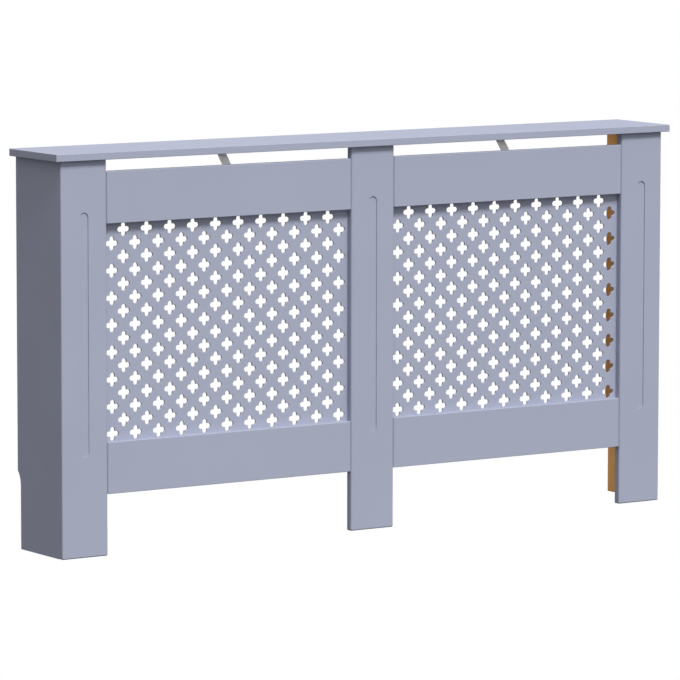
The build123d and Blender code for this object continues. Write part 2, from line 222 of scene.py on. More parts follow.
def add(tree, kind, inputs=None, **settings):
    """A new node with its settings and its inputs by name or place."""
    node = tree.nodes.new(kind)
    for name, value in settings.items():
        setattr(node, name, value)
    for key, value in (inputs or {}).items():
        feed(tree, node.inputs[key], value)
    return node


def calc(tree, operation, *values):
    """The result of a Math node."""
    return add(tree, "ShaderNodeMath", dict(enumerate(values)), operation=operation).outputs[0]


def split(tree, vector):
    """X, Y and Z of a vector."""
    return tuple(add(tree, "ShaderNodeSeparateXYZ", {0: vector}).outputs)


def joined(tree, x, y, z=0.0):
    """A vector from its X, Y and Z."""
    return add(tree, "ShaderNodeCombineXYZ", {0: x, 1: y, 2: z}).outputs[0]


def geometry_tree(name, inputs):
    """A geometry tree with a mesh input and these named inputs, and a socket for each of them."""
    tree = bpy.data.node_groups.new(name, "GeometryNodeTree")
    tree.is_modifier = True
    tree.interface.new_socket("Geometry", in_out="OUTPUT", socket_type="NodeSocketGeometry")
    tree.interface.new_socket("Geometry", in_out="INPUT", socket_type="NodeSocketGeometry")
    for label, kind in inputs.items():
        tree.interface.new_socket(label, in_out="INPUT", socket_type=f"NodeSocket{kind}")
    source = add(tree, "NodeGroupInput")
    return tree, {socket.name: socket for socket in source.outputs if socket.name}


def close_tree(tree, geometry, finish):
    """Ends a geometry tree: real geometry in its finish."""
    real = add(tree, "GeometryNodeRealizeInstances", {"Geometry": geometry}).outputs[0]
    painted = add(tree, "GeometryNodeSetMaterial", {"Geometry": real, "Material": finish}).outputs[0]
    add(tree, "NodeGroupOutput", {0: painted})


def grown(name, points, tree, values, smooth_below, ways=None):
    """The plain closed mesh that a geometry tree grows from points, as an object of its own."""
    seed = bpy.data.meshes.new(name + "_points")
    seed.from_pydata([tuple(point) for point in points], [], [])
    if ways is not None:
        attribute = seed.attributes.new("way", "FLOAT_VECTOR", "POINT")
        attribute.data.foreach_set("vector", np.array(ways, np.float32).ravel())
    source = bpy.data.objects.new(name + "_points", seed)
    bpy.context.scene.collection.objects.link(source)
    modifier = source.modifiers.new("Grown", "NODES")
    modifier.node_group = tree
    for item in tree.interface.items_tree:
        if item.in_out == "INPUT" and item.name in values:
            modifier[item.identifier] = values[item.name]
    evaluated = source.evaluated_get(bpy.context.evaluated_depsgraph_get())
    mesh = bpy.data.meshes.new_from_object(evaluated)
    mesh.name = name
    bpy.data.objects.remove(source)
    bpy.data.meshes.remove(seed)
    close_mesh(mesh, smooth_below)
    made = bpy.data.objects.new(name, mesh)
    bpy.context.scene.collection.objects.link(made)
    return made


def close_mesh(mesh, smooth_below):
    """Merges a mesh's doubles, turns its faces outwards and smooths its shallow edges."""
    work = bmesh.new()
    work.from_mesh(mesh)
    bmesh.ops.remove_doubles(work, verts=work.verts, dist=WELD)
    bmesh.ops.recalc_face_normals(work, faces=work.faces)
    work.to_mesh(mesh)
    work.free()
    mesh.shade_smooth()
    mesh.set_sharp_from_angle(angle=math.radians(smooth_below))


def hand_over(piece, slot, *stood_for):
    """Lets a piece stand for its nodes of the frame."""
    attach(piece, BODY)
    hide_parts(*stood_for)


# ---------------------------------------------------------------- finishes
def new_material(name):
    """An empty material with its shader, and the place on the object."""
    material = bpy.data.materials.new(name)
    material.use_nodes = True
    tree = material.node_tree
    tree.nodes.clear()
    shader = add(tree, "ShaderNodeBsdfPrincipled")
    add(tree, "ShaderNodeOutputMaterial", {"Surface": shader.outputs[0]})
    place = add(tree, "ShaderNodeTexCoord").outputs["Object"]
    return material, tree, shader, place


def cloud(tree, place, size, detail=2.0, roughness=0.5):
    """Soft noise from 0 to 1 whose lumps are `size` wide."""
    node = add(
        tree, "ShaderNodeTexNoise",
        {"Vector": place, "Scale": 1 / size, "Detail": detail, "Roughness": roughness},
    )
    return node.outputs[0]


def blended(tree, factor, first, second):
    """A colour between two colours, which a Mix node takes in its sockets 6 and 7."""
    inputs = {0: factor, 6: first, 7: second}
    return add(tree, "ShaderNodeMix", inputs, data_type="RGBA").outputs[2]


def spread(tree, value, low, high, to_low=0.0, to_high=1.0):
    """A number moved from one range to another, and kept within it."""
    inputs = {"Value": value, "From Min": low, "From Max": high, "To Min": to_low, "To Max": to_high}
    return add(tree, "ShaderNodeMapRange", inputs).outputs[0]


def bumped(tree, height, distance):
    """A normal that follows a height between 0 and 1."""
    return add(tree, "ShaderNodeBump", {"Height": height, "Distance": distance}).outputs[0]


def shaded(colour_parts, share_kept):
    """A colour with each part scaled by the same share."""
    return tuple(part * share_kept for part in colour_parts)


def inside_cabinet(tree, place, margin):
    """How far a point lies inside the cabinet, behind the frame and between the sides."""
    x, y, z = split(tree, place)
    behind = calc(tree, "SUBTRACT", y, FRAME_BACK - margin)
    between = calc(tree, "SUBTRACT", SIDE_INNER + margin, calc(tree, "ABSOLUTE", x))
    below = calc(tree, "SUBTRACT", SHELF_UNDERSIDE - margin, z)
    return calc(tree, "MINIMUM", calc(tree, "MINIMUM", behind, between), below)


def behind_grille(tree, place, margin):
    """How far a point lies behind the grilles' rear face."""
    return calc(tree, "SUBTRACT", split(tree, place)[1], GRILLE_BACK - margin)


# Most values of a cloud lie in this range.
CLOUD_CORE = (0.3, 0.7)

CREEP_SIZE = 1.2 * MM
CREEP_FADE = 0.15 * MM
SHADE_DRIFT_SIZE = 180 * MM
GLOSS_DRIFT_SIZE = 60 * MM
GLOSS_DRIFT = 0.04
FIBRE_SIZE = 1.1 * MM
PATCH_SIZE = 35 * MM
PATCH_WEIGHT = 0.35
FIBRE_RANGE = (0.45, 0.85)
BARE_ROUGHNESS = 0.85
LACQUER_IOR = 1.5


def lacquer(name, coat, settings, depth_of):
    """Satin lacquer on fibreboard that stays bare where `depth_of` says that a face is hidden."""
    material, tree, shader, place = new_material(name)
    creep = calc(tree, "MULTIPLY", cloud(tree, place, CREEP_SIZE), settings.overspray)
    depth = calc(tree, "SUBTRACT", depth_of(tree, place, settings.overspray), creep)
    bare = spread(tree, depth, 0.0, CREEP_FADE)

    drift = cloud(tree, place, SHADE_DRIFT_SIZE, detail=3.0)
    light, dark = shaded(coat, 1 + settings.mottling), shaded(coat, 1 - settings.mottling)
    paint = blended(tree, drift, dark, light)

    fibres = cloud(tree, place, FIBRE_SIZE, detail=4.0, roughness=0.7)
    patches = calc(tree, "MULTIPLY", cloud(tree, place, PATCH_SIZE), PATCH_WEIGHT)
    fibre_mix = spread(tree, calc(tree, "ADD", fibres, patches), *FIBRE_RANGE)
    board = blended(tree, fibre_mix, settings.bare_dark, settings.bare)
    feed(tree, shader.inputs["Base Color"], blended(tree, bare, paint, board))

    glossiest, dullest = settings.roughness - GLOSS_DRIFT, settings.roughness + GLOSS_DRIFT
    satin = spread(tree, cloud(tree, place, GLOSS_DRIFT_SIZE), *CLOUD_CORE, glossiest, dullest)
    feed(tree, shader.inputs["Roughness"], spread(tree, bare, 0.0, 1.0, satin, BARE_ROUGHNESS))
    peel = cloud(tree, place, settings.peel_size, detail=1.0)
    bare_relief = calc(tree, "MULTIPLY", fibres, bare)
    coat_relief = calc(tree, "MULTIPLY", peel, calc(tree, "SUBTRACT", 1.0, bare))
    height = calc(tree, "ADD", bare_relief, coat_relief)
    feed(tree, shader.inputs["Normal"], bumped(tree, height, settings.peel_height))
    shader.inputs["IOR"].default_value = LACQUER_IOR
    return material


SPANGLE_SHADE = 0.88
SPANGLE_ROUGHNESS = (0.44, 0.56)
SCUFF_SIZE = 0.8 * MM
SCUFF_DEPTH = 0.01 * MM
ZINC_COAT_METALLIC = 0.1


def galvanised(settings):
    """Matt zinc-coated strip with faint spangles."""
    material, tree, shader, place = new_material("Galvanised strip")
    cells = add(tree, "ShaderNodeTexVoronoi", {"Vector": place, "Scale": 1 / settings.spangle})
    grey = add(tree, "ShaderNodeRGBToBW", {0: cells.outputs["Color"]}).outputs[0]
    dark = shaded(settings.steel, SPANGLE_SHADE)
    feed(tree, shader.inputs["Base Color"], blended(tree, grey, dark, settings.steel))
    feed(tree, shader.inputs["Roughness"], spread(tree, grey, 0.0, 1.0, *SPANGLE_ROUGHNESS))
    scuffs = cloud(tree, place, SCUFF_SIZE, detail=3.0)
    feed(tree, shader.inputs["Normal"], bumped(tree, scuffs, SCUFF_DEPTH))
    shader.inputs["Metallic"].default_value = ZINC_COAT_METALLIC
    return material


STAIN_SIZE = 2.5 * MM
STAIN_SHADE = 0.85
STAIN_ROUGHNESS = (0.26, 0.4)


def zinc_plate(settings):
    """Bright zinc plate with duller, darker stains."""
    material, tree, shader, place = new_material("Zinc plate")
    stain = cloud(tree, place, STAIN_SIZE)
    dark = shaded(settings.zinc, STAIN_SHADE)
    feed(tree, shader.inputs["Base Color"], blended(tree, stain, dark, settings.zinc))
    feed(tree, shader.inputs["Roughness"], spread(tree, stain, *CLOUD_CORE, *STAIN_ROUGHNESS))
    shader.inputs["Metallic"].default_value = 1.0
    return material


GRAIN_SIZE = 0.5 * MM
GRAIN_DEPTH = 0.015 * MM
GRAIN_ROUGHNESS = (0.46, 0.6)
CLOUDINESS_SIZE = 14 * MM
CLOUDINESS_SHADE = 0.92
NYLON_IOR = 1.53


def moulded_nylon(settings):
    """Finely grained moulded plastic."""
    material, tree, shader, place = new_material("Moulded nylon")
    grain = cloud(tree, place, GRAIN_SIZE)
    cloudiness = cloud(tree, place, CLOUDINESS_SIZE)
    dark = shaded(settings.block, CLOUDINESS_SHADE)
    feed(tree, shader.inputs["Base Color"], blended(tree, cloudiness, dark, settings.block))
    feed(tree, shader.inputs["Roughness"], spread(tree, grain, *CLOUD_CORE, *GRAIN_ROUGHNESS))
    feed(tree, shader.inputs["Normal"], bumped(tree, grain, GRAIN_DEPTH))
    shader.inputs["IOR"].default_value = NYLON_IOR
    return material


FLECK_SIZE = 0.9 * MM
FLECK_STRETCH = 0.12
FLECK_RANGE = (0.35, 0.6)
FLECK_DEPTH = 0.03 * MM
BEECH_ROUGHNESS = 0.62


def beech(settings, axis):
    """Bare beech whose flecks run along one axis."""
    material, tree, shader, place = new_material(f"Bare beech along {'XYZ'[axis]}")
    stretch = [1.0, 1.0, 1.0]
    stretch[axis] = FLECK_STRETCH
    along = add(tree, "ShaderNodeMapping", {"Vector": place, "Scale": stretch}).outputs[0]
    flecks = cloud(tree, along, FLECK_SIZE, detail=3.0)
    figure = spread(tree, flecks, *FLECK_RANGE)
    feed(tree, shader.inputs["Base Color"], blended(tree, figure, settings.beech_dark, settings.beech))
    feed(tree, shader.inputs["Normal"], bumped(tree, flecks, FLECK_DEPTH))
    shader.inputs["Roughness"].default_value = BEECH_ROUGHNESS
    return material


# ---------------------------------------------------------------- fixings of the frame
def solids_of(name):
    """The corner points of each separate solid in a node."""
    work = bmesh.new()
    work.from_mesh(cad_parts[name].data)
    bmesh.ops.remove_doubles(work, verts=work.verts, dist=FRAME_WELD)
    left = set(work.verts)
    found = []
    while left:
        group = [left.pop()]
        for vertex in group:
            near = {edge.other_vert(vertex) for edge in vertex.link_edges} & left
            left -= near
            group.extend(near)
        found.append(np.array([vertex.co for vertex in group]))
    work.free()
    return sorted(found, key=lambda points: tuple(points.mean(0).round(5)))


def long_axis(points):
    """The axis that a fixing lies along, its middle and the distance of each point from that line."""
    axis = int(np.argmax(np.ptp(points, axis=0)))
    middle = (points.max(0) + points.min(0)) / 2
    off = np.delete(points - middle, axis, axis=1)
    return axis, middle, np.linalg.norm(off, axis=1)


RIM_TOLERANCE = 0.01 * MM  # points this close to the largest radius are the head's rim
UNDER_HEAD = 0.1 * MM  # points further below the seat than this are the shank


def read_screw(points):
    """Seat and outward way of a screw, with the sizes of its head and shank."""
    axis, middle, radii = long_axis(points)
    along = points[:, axis]
    rim = along[radii > radii.max() - RIM_TOLERANCE]
    outward = 1.0 if rim.mean() > middle[axis] else -1.0
    seat = (rim * outward).min()
    place = middle.copy()
    place[axis] = seat * outward
    way = np.zeros(3)
    way[axis] = outward
    shank = radii[along * outward < seat - UNDER_HEAD]
    sizes = {
        "Head Radius": radii.max(), "Head Height": (along * outward).max() - seat,
        "Shank Radius": shank.max(), "Length": seat - (along * outward).min(),
    }
    return place, way, {name: float(size) for name, size in sizes.items()}


def read_dowel(points):
    """Middle, axis and sizes of a dowel."""
    axis, middle, radii = long_axis(points)
    return middle, axis, {"Radius": float(radii.max()), "Length": float(np.ptp(points[:, axis]))}


# ---------------------------------------------------------------- turned parts
# The sweep runs round a small ring of this radius, and outlines are measured from it.
TURN_START = 0.1 * MM


def outline_point(tree, radius, height):
    """A point of a turned part's outline, as the sweep round Z wants it."""
    return joined(tree, calc(tree, "SUBTRACT", radius, TURN_START), calc(tree, "MULTIPLY", height, -1.0))


def line(tree, start, end):
    """A straight stretch of a turned part's outline, from (radius, height) to (radius, height)."""
    ends = {"Start": outline_point(tree, *start), "End": outline_point(tree, *end)}
    return add(tree, "GeometryNodeCurvePrimitiveLine", ends).outputs[0]


def turned(tree, outline, sides):
    """The solid that stretches of outline make when they turn about Z."""
    circle = {"Resolution": sides, "Radius": TURN_START}
    ring = add(tree, "GeometryNodeCurvePrimitiveCircle", circle).outputs[0]
    level = add(tree, "GeometryNodeSetCurveNormal", {"Curve": ring}, mode="Z_UP").outputs[0]
    profile = add(tree, "GeometryNodeJoinGeometry")
    for stretch in reversed(outline):
        tree.links.new(stretch, profile.inputs[0])
    sweep = {"Curve": level, "Profile Curve": profile.outputs[0]}
    swept = add(tree, "GeometryNodeCurveToMesh", sweep).outputs[0]
    return add(tree, "GeometryNodeMergeByDistance", {"Geometry": swept, "Distance": WELD}).outputs[0]


def position(tree):
    """X, Y and Z of each point."""
    return split(tree, add(tree, "GeometryNodeInputPosition").outputs[0])


def angle_round_z(tree):
    """The angle round Z of each point."""
    x, y, _ = position(tree)
    return calc(tree, "ARCTAN2", y, x)


def drawn_in(tree, solid, share_of_radius, where):
    """Points moved towards Z by a share of their radius."""
    x, y, z = position(tree)
    keep = calc(tree, "SUBTRACT", 1.0, share_of_radius)
    moved = joined(tree, calc(tree, "MULTIPLY", x, keep), calc(tree, "MULTIPLY", y, keep), z)
    inputs = {"Geometry": solid, "Position": moved, "Selection": where}
    return add(tree, "GeometryNodeSetPosition", inputs).outputs[0]


def stood_on_points(tree, points, part, spin_seed):
    """A copy of a part on each point, standing along the point's way and turned at random about it."""
    way = add(tree, "GeometryNodeInputNamedAttribute", {"Name": "way"}, data_type="FLOAT_VECTOR").outputs[0]
    upright = add(tree, "FunctionNodeAlignRotationToVector", {"Vector": way}, axis="Z").outputs[0]
    full_turn = {2: 0.0, 3: math.tau, "Seed": spin_seed}
    turn = add(tree, "FunctionNodeRandomValue", full_turn, data_type="FLOAT").outputs[1]
    about_z = {"Axis": (0, 0, 1), "Angle": turn}
    spin = add(tree, "FunctionNodeAxisAngleToRotation", about_z).outputs[0]
    turns = {"Rotation": upright, "Rotate By": spin}
    rotation = add(tree, "FunctionNodeRotateRotation", turns, rotation_space="LOCAL").outputs[0]
    inputs = {"Points": points, "Instance": part, "Rotation": rotation}
    return add(tree, "GeometryNodeInstanceOnPoints", inputs).outputs[0]


SCREW_SIDES = 24
DOME_STEPS = 6
RINGS_A_TURN = 4
SCREW_TIP = 3 * MM
THREAD_START = 0.1 * MM  # how far under the head the thread begins
RIM_SHARE = 0.4  # height of the head's straight rim, as a share of its height
CROWN_SHARE = 0.8  # how far out the head's dome stays high, as a share of its radius
RECESS_TAPER = 0.3  # how much narrower the recess is at its bottom
SCREW_SPIN_SEED = 7


def recess(tree, size):
    """The two tapering wings of a cross recess, to be cut from a head."""
    wings = add(tree, "GeometryNodeJoinGeometry")
    twice_depth = calc(tree, "MULTIPLY", size["Recess Depth"], 2.0)
    for turn in (0.0, math.pi / 2):
        block = joined(tree, size["Recess Span"], size["Recess Width"], twice_depth)
        wing = add(tree, "GeometryNodeMeshCube", {"Size": block}).outputs[0]
        seated = {"Geometry": wing, "Translation": joined(tree, 0.0, 0.0, size["Head Height"])}
        moved = add(tree, "GeometryNodeTransform", {**seated, "Rotation": Euler((0, 0, turn))})
        tree.links.new(moved.outputs[0], wings.inputs[0])
    low = calc(tree, "LESS_THAN", position(tree)[2], size["Head Height"])
    return drawn_in(tree, wings.outputs[0], RECESS_TAPER, low)


def screw_tree():
    """A cross-recessed pan-head screw on each point."""
    names = (
        "Head Radius", "Head Height", "Shank Radius", "Length", "Thread Pitch", "Thread Depth",
        "Recess Span", "Recess Width", "Recess Depth",
    )
    tree, size = geometry_tree("Pan head screws", {**dict.fromkeys(names, "Float"), "Finish": "Material"})
    head, height, shank = size["Head Radius"], size["Head Height"], size["Shank Radius"]
    rim = calc(tree, "MULTIPLY", height, RIM_SHARE)
    tip = calc(tree, "SUBTRACT", SCREW_TIP, size["Length"])
    end = calc(tree, "MULTIPLY", size["Length"], -1.0)

    crown = calc(tree, "MULTIPLY", head, CROWN_SHARE)
    arch = {
        "Resolution": DOME_STEPS, "Start": outline_point(tree, 0.0, height),
        "Middle": outline_point(tree, crown, height), "End": outline_point(tree, head, rim),
    }
    dome = add(tree, "GeometryNodeCurveQuadraticBezier", arch).outputs[0]
    turns = calc(tree, "DIVIDE", size["Length"], size["Thread Pitch"])
    rings = calc(tree, "MULTIPLY", turns, RINGS_A_TURN)
    ringed = {"Curve": line(tree, (shank, 0.0), (shank, tip)), "Count": rings}
    stem = add(tree, "GeometryNodeResampleCurve", ringed).outputs[0]
    outline = [
        dome, line(tree, (head, rim), (head, 0.0)), line(tree, (head, 0.0), (shank, 0.0)),
        stem, line(tree, (shank, tip), (0.0, end)),
    ]
    solid = turned(tree, outline, SCREW_SIDES)
    meshes = {"Mesh 1": solid, "Mesh 2": recess(tree, size), "Self Intersection": True}
    cut = add(tree, "GeometryNodeMeshBoolean", meshes, operation="DIFFERENCE", solver="EXACT").outputs[0]

    z = position(tree)[2]
    turns_up = calc(tree, "DIVIDE", z, size["Thread Pitch"])
    climb = calc(tree, "SUBTRACT", turns_up, calc(tree, "DIVIDE", angle_round_z(tree), math.tau))
    groove = calc(tree, "MULTIPLY", calc(tree, "PINGPONG", climb, 0.5), 2.0)
    depth = calc(tree, "MULTIPLY", groove, calc(tree, "DIVIDE", size["Thread Depth"], shank))
    threaded = calc(tree, "LESS_THAN", z, -THREAD_START)
    screw = drawn_in(tree, cut, depth, threaded)
    close_tree(tree, stood_on_points(tree, size["Geometry"], screw, SCREW_SPIN_SEED), size["Finish"])
    return tree


DOWEL_CHAMFER = 1 * MM
SIDES_PER_FLUTE = 2
DOWEL_SPIN_SEED = 3


def dowel_tree():
    """A grooved dowel with chamfered ends on each point."""
    inputs = {**dict.fromkeys(("Radius", "Length", "Flute Depth"), "Float"), "Flutes": "Int"}
    tree, size = geometry_tree("Grooved dowels", {**inputs, "Finish": "Material"})
    radius = size["Radius"]
    face = calc(tree, "SUBTRACT", radius, DOWEL_CHAMFER)
    top = calc(tree, "MULTIPLY", size["Length"], 0.5)
    shoulder = calc(tree, "SUBTRACT", top, DOWEL_CHAMFER)
    bottom, low_shoulder = calc(tree, "MULTIPLY", top, -1.0), calc(tree, "MULTIPLY", shoulder, -1.0)
    corners = [
        (0.0, top), (face, top), (radius, shoulder), (radius, low_shoulder), (face, bottom), (0.0, bottom),
    ]
    outline = [line(tree, start, end) for start, end in zip(corners, corners[1:])]
    solid = turned(tree, outline, calc(tree, "MULTIPLY", size["Flutes"], SIDES_PER_FLUTE))
    wave = calc(tree, "COSINE", calc(tree, "MULTIPLY", angle_round_z(tree), size["Flutes"]))
    depth = calc(tree, "DIVIDE", size["Flute Depth"], radius)
    share_in = calc(tree, "MULTIPLY", calc(tree, "LESS_THAN", wave, 0.0), depth)
    fluted = drawn_in(tree, solid, share_in, True)
    close_tree(tree, stood_on_points(tree, size["Geometry"], fluted, DOWEL_SPIN_SEED), size["Finish"])
    return tree


# ---------------------------------------------------------------- grilles
SCREW_HOLE_SIDES = 16


def cross_outline(tree, size):
    """One closed outline of a cross with round arms, point by point from its index."""
    steps = size["Arc Steps"]
    per_arm = calc(tree, "ADD", steps, 2.0)
    in_all = calc(tree, "MULTIPLY", per_arm, 4.0)
    ring = add(tree, "GeometryNodeCurvePrimitiveCircle", {"Resolution": in_all}).outputs[0]
    index = add(tree, "GeometryNodeInputIndex").outputs[0]
    arm = calc(tree, "FLOOR", calc(tree, "DIVIDE", calc(tree, "ADD", index, 0.5), per_arm))
    step = calc(tree, "SUBTRACT", index, calc(tree, "MULTIPLY", arm, per_arm))
    half = calc(tree, "MULTIPLY", size["Cross Arm"], 0.5)
    reach = calc(tree, "SUBTRACT", calc(tree, "MULTIPLY", size["Cross Span"], 0.5), half)
    turn = calc(tree, "MULTIPLY", calc(tree, "SUBTRACT", calc(tree, "DIVIDE", step, steps), 0.5), math.pi)
    along = calc(tree, "ADD", reach, calc(tree, "MULTIPLY", half, calc(tree, "COSINE", turn)))
    across = calc(tree, "MULTIPLY", half, calc(tree, "SINE", turn))
    is_corner = calc(tree, "GREATER_THAN", step, calc(tree, "ADD", steps, 0.5))
    place = add(
        tree, "GeometryNodeSwitch",
        {"Switch": is_corner, "False": joined(tree, along, across), "True": joined(tree, half, half)},
        input_type="VECTOR",
    ).outputs[0]
    quarter = {"Vector": place, "Axis": (0, 0, 1), "Angle": calc(tree, "MULTIPLY", arm, math.pi / 2)}
    turned_place = add(tree, "ShaderNodeVectorRotate", quarter).outputs[0]
    return add(tree, "GeometryNodeSetPosition", {"Geometry": ring, "Position": turned_place}).outputs[0]


def staggered_points(tree, size):
    """Points at the crosses' centres: each second row is moved half a pitch and holds one less."""
    half_pitch = calc(tree, "MULTIPLY", size["Column Pitch"], 0.5)
    places = calc(tree, "SUBTRACT", calc(tree, "MULTIPLY", size["Columns"], 2.0), 1.0)
    width = calc(tree, "MULTIPLY", calc(tree, "SUBTRACT", places, 1.0), half_pitch)
    height = calc(tree, "MULTIPLY", calc(tree, "SUBTRACT", size["Rows"], 1.0), size["Row Pitch"])
    inputs = {"Size X": width, "Size Y": height, "Vertices X": places, "Vertices Y": size["Rows"]}
    grid = add(tree, "GeometryNodeMeshGrid", inputs).outputs[0]
    x, y, _ = position(tree)
    column = calc(tree, "DIVIDE", calc(tree, "ADD", x, calc(tree, "MULTIPLY", width, 0.5)), half_pitch)
    row = calc(tree, "DIVIDE", calc(tree, "ADD", y, calc(tree, "MULTIPLY", height, 0.5)), size["Row Pitch"])
    parity = calc(tree, "MODULO", calc(tree, "ROUND", calc(tree, "ADD", column, row)), 2.0)
    odd = calc(tree, "GREATER_THAN", parity, 0.5)
    return add(tree, "GeometryNodeDeleteGeometry", {"Geometry": grid, "Selection": odd}).outputs[0]


def grille_tree():
    """A thin sheet with staggered crosses, screw holes and an eased front edge, standing in its bay."""
    names = (
        "Sheet Width", "Sheet Height", "Sheet Thickness", "Cross Span", "Cross Arm",
        "Column Pitch", "Row Pitch", "Screw Hole Radius", "Eased Edge",
    )
    inputs = {**dict.fromkeys(names, "Float"), **dict.fromkeys(("Columns", "Rows", "Arc Steps"), "Int")}
    tree, size = geometry_tree("Perforated grille", {**inputs, "Bay": "Vector", "Finish": "Material"})
    thickness, ease = size["Sheet Thickness"], size["Eased Edge"]

    crosses = add(
        tree, "GeometryNodeInstanceOnPoints",
        {"Points": staggered_points(tree, size), "Instance": cross_outline(tree, size)},
    ).outputs[0]
    round_hole = {"Resolution": SCREW_HOLE_SIDES, "Radius": size["Screw Hole Radius"]}
    bore = add(tree, "GeometryNodeCurvePrimitiveCircle", round_hole).outputs[0]
    bored = {"Points": size["Geometry"], "Instance": bore}
    bores = add(tree, "GeometryNodeInstanceOnPoints", bored).outputs[0]
    blank = {"Width": size["Sheet Width"], "Height": size["Sheet Height"]}
    sheet = add(tree, "GeometryNodeCurvePrimitiveQuadrilateral", blank).outputs[0]
    outlines = add(tree, "GeometryNodeJoinGeometry")
    for part in (crosses, bores, add(tree, "GeometryNodeReverseCurve", {0: sheet}).outputs[0]):
        tree.links.new(part, outlines.inputs[0])
    real = add(tree, "GeometryNodeRealizeInstances", {0: outlines.outputs[0]}).outputs[0]
    edges = add(tree, "GeometryNodeSetCurveNormal", {"Curve": real}, mode="Z_UP").outputs[0]

    shoulder = calc(tree, "SUBTRACT", ease, thickness)
    front = calc(tree, "MULTIPLY", thickness, -1.0)
    wall = add(tree, "GeometryNodeCurvePrimitiveLine", {"End": joined(tree, 0.0, shoulder)}).outputs[0]
    slope = {"Start": joined(tree, 0.0, shoulder), "End": joined(tree, ease, front)}
    bevel = add(tree, "GeometryNodeCurvePrimitiveLine", slope).outputs[0]
    profile = add(tree, "GeometryNodeJoinGeometry")
    for part in (wall, bevel):
        tree.links.new(part, profile.inputs[0])
    sweep = {"Curve": edges, "Profile Curve": profile.outputs[0]}
    walls = add(tree, "GeometryNodeCurveToMesh", sweep).outputs[0]

    normal = add(tree, "GeometryNodeInputNormal").outputs[0]
    eased = add(tree, "ShaderNodeVectorMath", {0: normal, "Scale": ease}, operation="SCALE").outputs[0]
    wide = add(tree, "GeometryNodeSetPosition", {"Geometry": edges, "Offset": eased}).outputs[0]
    front_fill = add(tree, "GeometryNodeFillCurve", {0: wide}).outputs[0]
    forward = {"Geometry": front_fill, "Translation": joined(tree, 0.0, 0.0, thickness)}
    front_face = add(tree, "GeometryNodeTransform", forward).outputs[0]
    rear_fill = add(tree, "GeometryNodeFillCurve", {0: edges}).outputs[0]
    rear_face = add(tree, "GeometryNodeFlipFaces", {0: rear_fill}).outputs[0]

    faces = add(tree, "GeometryNodeJoinGeometry")
    for part in (walls, front_face, rear_face):
        tree.links.new(part, faces.inputs[0])
    loose = {"Geometry": faces.outputs[0], "Distance": GRILLE_WELD}
    sealed = add(tree, "GeometryNodeMergeByDistance", loose).outputs[0]
    upright = {"Geometry": sealed, "Translation": size["Bay"], "Rotation": Euler((math.pi / 2, 0, 0))}
    close_tree(tree, add(tree, "GeometryNodeTransform", upright).outputs[0], size["Finish"])
    return tree


# ---------------------------------------------------------------- operators
class RADCOVER_OT_boards(bpy.types.Operator):
    """Lacquer the shelf, side panels, posts and rails, and leave their inner faces bare"""

    bl_idname = "radcover.boards"
    bl_label = "Boards"

    def execute(self, context):
        settings = context.scene.radcover_lacquer
        finish = lacquer("Lacquered board", settings.board, settings, inside_cabinet)
        for name in BOARD_NODES:
            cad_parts[name].material_slots[0].material = finish
        return {"FINISHED"}


class RADCOVER_OT_grilles(bpy.types.Operator):
    """Make the two perforated grilles"""

    bl_idname = "radcover.grilles"
    bl_label = "Grilles"

    def execute(self, context):
        settings = context.scene.radcover_grille
        coat = context.scene.radcover_lacquer
        finish = lacquer("Lacquered grille", coat.grille, coat, behind_grille)
        tree = grille_tree()
        screws = [read_screw(points)[0] for points in solids_of("grille_screws")]
        for name in GRILLE_NODES:
            low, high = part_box(name)
            middle = (low + high) / 2
            near = [
                (place[0] - middle.x, place[2] - middle.z, 0.0)
                for place in screws if low.x < place[0] < high.x
            ]
            values = {
                "Sheet Width": high.x - low.x, "Sheet Height": high.z - low.z,
                "Sheet Thickness": high.y - low.y,
                "Cross Span": settings.cross_span, "Cross Arm": settings.cross_arm,
                "Column Pitch": settings.column_pitch, "Row Pitch": settings.row_pitch,
                "Screw Hole Radius": settings.screw_hole, "Eased Edge": settings.edge,
                "Columns": settings.columns, "Rows": settings.rows, "Arc Steps": settings.arc_steps,
                "Bay": (middle.x, high.y, middle.z), "Finish": finish,
            }
            grille = grown(name.replace("grille", "perforated_grille"), near, tree, values, SMOOTH_BELOW)
            hand_over(grille, "lacquered_grille", name)
        return {"FINISHED"}


class RADCOVER_OT_steelwork(bpy.types.Operator):
    """Finish the shelf braces and wall brackets in galvanised steel"""

    bl_idname = "radcover.steelwork"
    bl_label = "Steelwork"

    def execute(self, context):
        finish = galvanised(context.scene.radcover_fixings)
        for name in STEEL_NODES:
            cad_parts[name].material_slots[0].material = finish
        return {"FINISHED"}


class RADCOVER_OT_blocks(bpy.types.Operator):
    """Finish the corner blocks in moulded nylon"""

    bl_idname = "radcover.blocks"
    bl_label = "Corner blocks"

    def execute(self, context):
        finish = moulded_nylon(context.scene.radcover_fixings)
        for name in BLOCK_NODES:
            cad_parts[name].material_slots[0].material = finish
        return {"FINISHED"}


class RADCOVER_OT_screws(bpy.types.Operator):
    """Make the pan-head screws where the frame has them"""

    bl_idname = "radcover.screws"
    bl_label = "Screws"

    def execute(self, context):
        settings = context.scene.radcover_fixings
        finish = zinc_plate(settings)
        tree = screw_tree()
        for name in SCREW_NODES:
            places, ways, sizes = zip(*(read_screw(points) for points in solids_of(name)))
            values = {
                **sizes[0], "Thread Pitch": settings.thread_pitch, "Thread Depth": settings.thread_depth,
                "Recess Span": settings.recess_span, "Recess Width": settings.recess_width,
                "Recess Depth": settings.recess_depth, "Finish": finish,
            }
            made = grown(f"threaded_{name}", places, tree, values, SMOOTH_BELOW, ways)
            hand_over(made, "zinc_screw", name)
        return {"FINISHED"}


